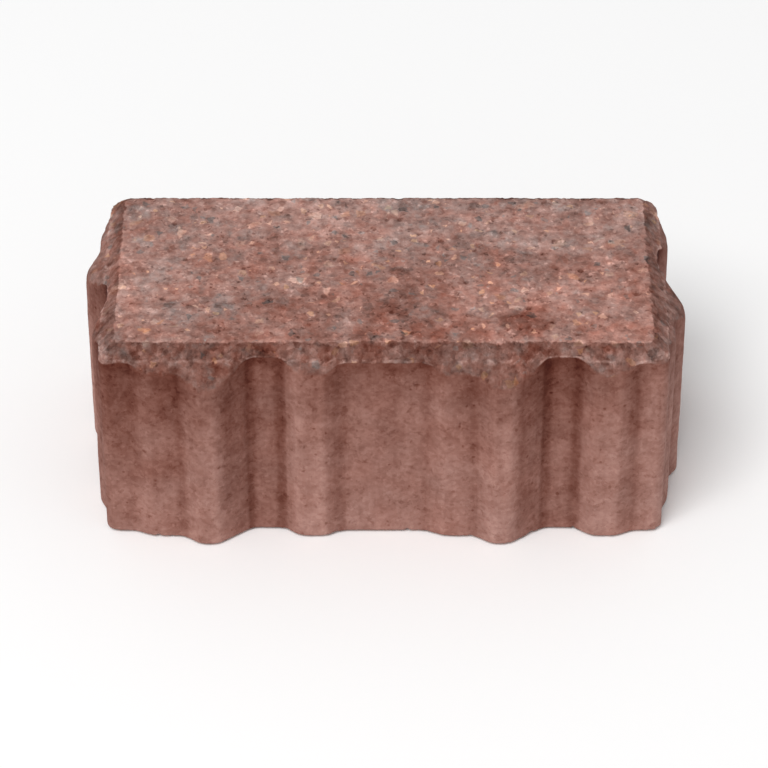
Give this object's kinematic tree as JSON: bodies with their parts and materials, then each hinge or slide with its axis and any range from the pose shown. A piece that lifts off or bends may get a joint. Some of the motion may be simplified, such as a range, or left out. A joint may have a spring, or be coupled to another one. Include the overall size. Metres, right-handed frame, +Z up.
{
  "type": "concrete paving stone",
  "caption": "Rectangular pressed-concrete paving stone with a rough chamfered top and ribbed, keyed sides that interlock with laid neighbours and hold a wide draining joint.",
  "frame": {"origin": "centre of the bed face, on the ground", "axes": "+X along the stone's length, +Y across its width to the back, +Z up out of the wearing face"},
  "size_m": [0.2064, 0.1062, 0.08],
  "materials": {
    "concrete": "rough pressed concrete, red-brown mottled with grey"
  },
  "bodies": {
    "root": {"paving_stone": "concrete"}
  },
  "joints": []
}
